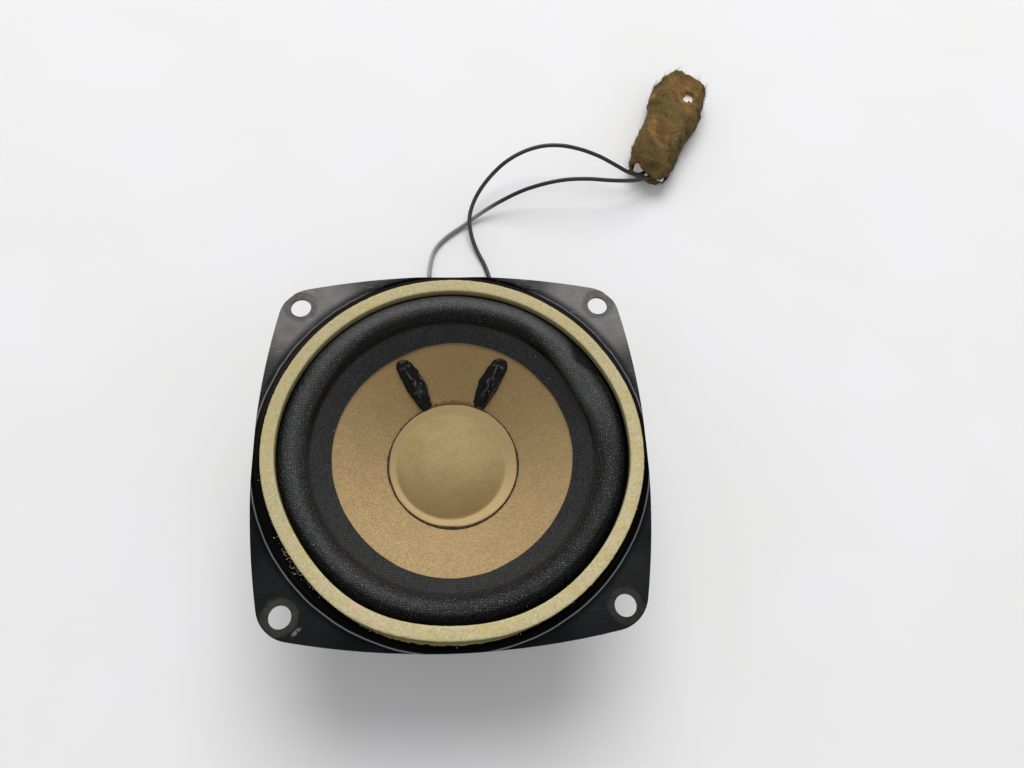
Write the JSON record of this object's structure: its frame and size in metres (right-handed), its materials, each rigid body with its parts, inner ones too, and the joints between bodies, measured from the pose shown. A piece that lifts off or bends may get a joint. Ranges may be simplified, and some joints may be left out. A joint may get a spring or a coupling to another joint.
{
  "type": "car speaker",
  "caption": "Four inch car speaker: square pressed basket, paper cone with dust cap on a cloth half roll, ferrite motor, terminals and leads with a felt wrapped plug.",
  "frame": {"origin": "on the speaker's axis, in the rear face of the motor's back plate, on which the speaker stands", "axes": "+Z forward out of the cone, +Y toward the side with the terminals, +X to the right as seen from the front"},
  "size_m": [0.1516, 0.2145, 0.0467],
  "materials": {
    "black_paint": "satin black lacquer over steel, worn grey at the front corners",
    "gasket_board": "pressed fibre board, tan",
    "coated_cloth": "black woven cloth with a satin coating",
    "cone_paper": "pressed kraft paper, matt",
    "cap_paper": "pressed paper, matt, dusty",
    "brown_glue": "dried contact glue",
    "black_glue": "glossy black glue",
    "brass": "dull brass",
    "copper_wire": "enamelled copper",
    "former_paper": "wound paper",
    "spider_cloth": "resin treated cotton",
    "plated_steel": "zinc plated, dull",
    "ferrite": "ground ferrite",
    "rivet_steel": "plated steel",
    "phenolic_board": "brown phenolic paper board",
    "tinned_brass": "tinned brass, dull",
    "solder": "soft solder",
    "tinsel_braid": "copper tinsel braid",
    "black_vinyl": "black vinyl insulation",
    "white_nylon": "natural nylon",
    "brown_felt": "brown wool felt, fuzzy and worn"
  },
  "bodies": {
    "frame": {"basket": "black_paint", "front_gasket": "gasket_board", "top_plate": "plated_steel", "magnet": "ferrite", "back_plate": "plated_steel", "pole_piece": "plated_steel", "basket_rivets": "rivet_steel", "terminal_board": "phenolic_board", "terminal_lugs": "tinned_brass", "lug_clenches": "brass", "board_rivet": "rivet_steel", "solder_joints": "solder", "tinsel_lead_left": "tinsel_braid", "tinsel_lead_right": "tinsel_braid", "lead_wire_left": "black_vinyl", "lead_wire_right": "black_vinyl", "plug_housing": "white_nylon", "plug_contacts": "tinned_brass", "felt_wrap": "brown_felt"},
    "cone": {"cone": "cone_paper", "surround": "coated_cloth", "spider": "spider_cloth", "dust_cap": "cap_paper", "cap_glue_line": "brown_glue", "lead_glue_left": "black_glue", "lead_glue_right": "black_glue", "lead_eyelets": "brass", "coil_leads": "copper_wire", "neck_glue": "brown_glue", "voice_coil_former": "former_paper", "voice_coil_winding": "copper_wire"}
  },
  "joints": [
    {"name": "cone_travel", "type": "slide", "parent": "frame", "child": "cone", "axis": [0, 0, 1], "range_m": [-0.002, 0.002], "stiffness_N_per_m": 1300, "deforming": ["surround", "spider", "tinsel_lead_left", "tinsel_lead_right"]}
  ]
}
